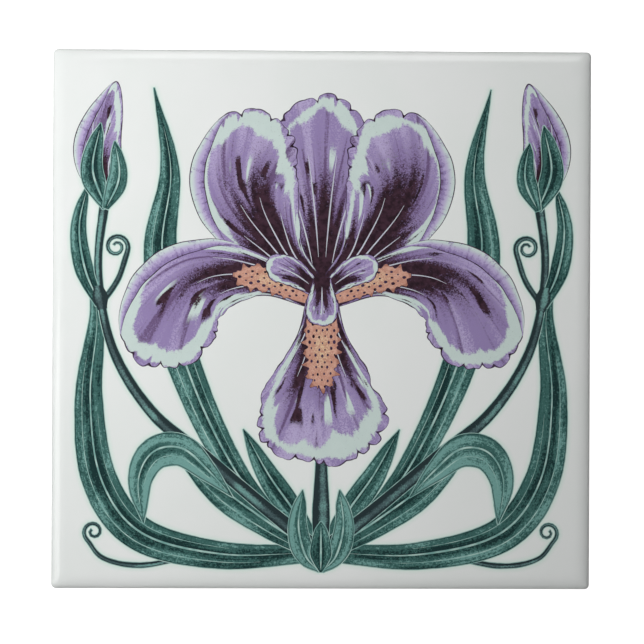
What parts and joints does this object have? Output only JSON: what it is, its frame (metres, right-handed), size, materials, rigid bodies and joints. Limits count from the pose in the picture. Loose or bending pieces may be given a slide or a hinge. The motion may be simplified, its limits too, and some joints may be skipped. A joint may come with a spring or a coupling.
{
  "type": "art nouveau tile",
  "caption": "Square glazed ceramic wall tile with a flat printed face, a softly rolled face edge and a bed keyed with shallow square pockets.",
  "frame": {"origin": "centre of the bed, the plane of the back's ribs that lies on the wall or floor", "axes": "+Z out through the glazed face, +Y towards the edge that is uppermost on a wall, +X to the right as the face is looked at"},
  "size_m": [0.152, 0.152, 0.008],
  "materials": {
    "white_glaze": "gloss",
    "biscuit_clay": "matte",
    "violet_ink": "gloss",
    "lilac_ink": "gloss",
    "peach_ink": "gloss",
    "outline_ink": "gloss",
    "green_ink": "gloss",
    "vein_ink": "gloss"
  },
  "bodies": {
    "root": {"tile": "white_glaze"}
  },
  "joints": []
}
